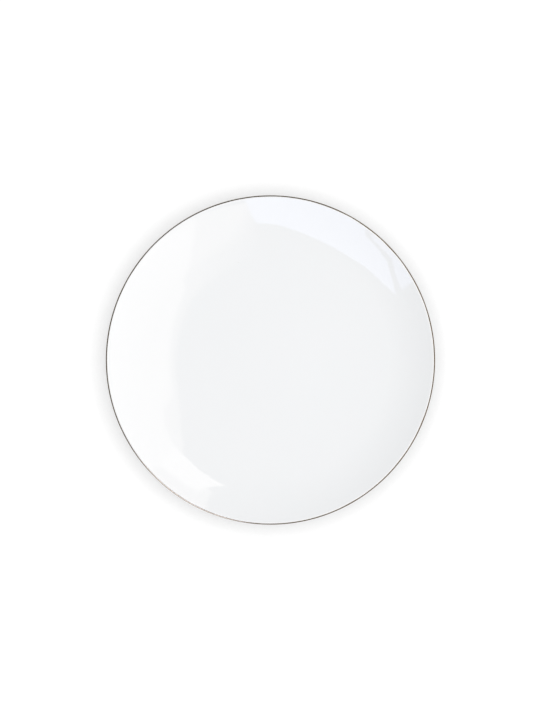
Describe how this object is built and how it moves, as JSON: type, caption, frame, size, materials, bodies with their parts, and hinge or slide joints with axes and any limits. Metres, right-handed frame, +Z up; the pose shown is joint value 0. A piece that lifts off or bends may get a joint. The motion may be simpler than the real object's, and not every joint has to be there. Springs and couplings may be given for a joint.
{
  "type": "dinner plate",
  "caption": "Round coupe dinner plate in glazed white china, its gently dished well running up in one curve to a thin lip with a fine gilt line, standing on a turned foot ring.",
  "frame": {"origin": "on the plate's axis, in the plane of the foot ring's bearing land, where the plate stands on the table", "axes": "+Z up along the axis of revolution, out of the well; +X and +Y are alike, because the plate is round"},
  "size_m": [0.27, 0.27, 0.0241],
  "materials": {
    "biscuit": "unglazed, matt, polished smooth on the foot's land",
    "glaze": "clear gloss glaze over a cool white body",
    "gilt": "fired gold, burnished"
  },
  "bodies": {
    "root": {"china_body": "biscuit", "glaze_coat": "glaze", "recess_glaze": "glaze", "gilt_rim_band": "gilt"}
  },
  "joints": []
}
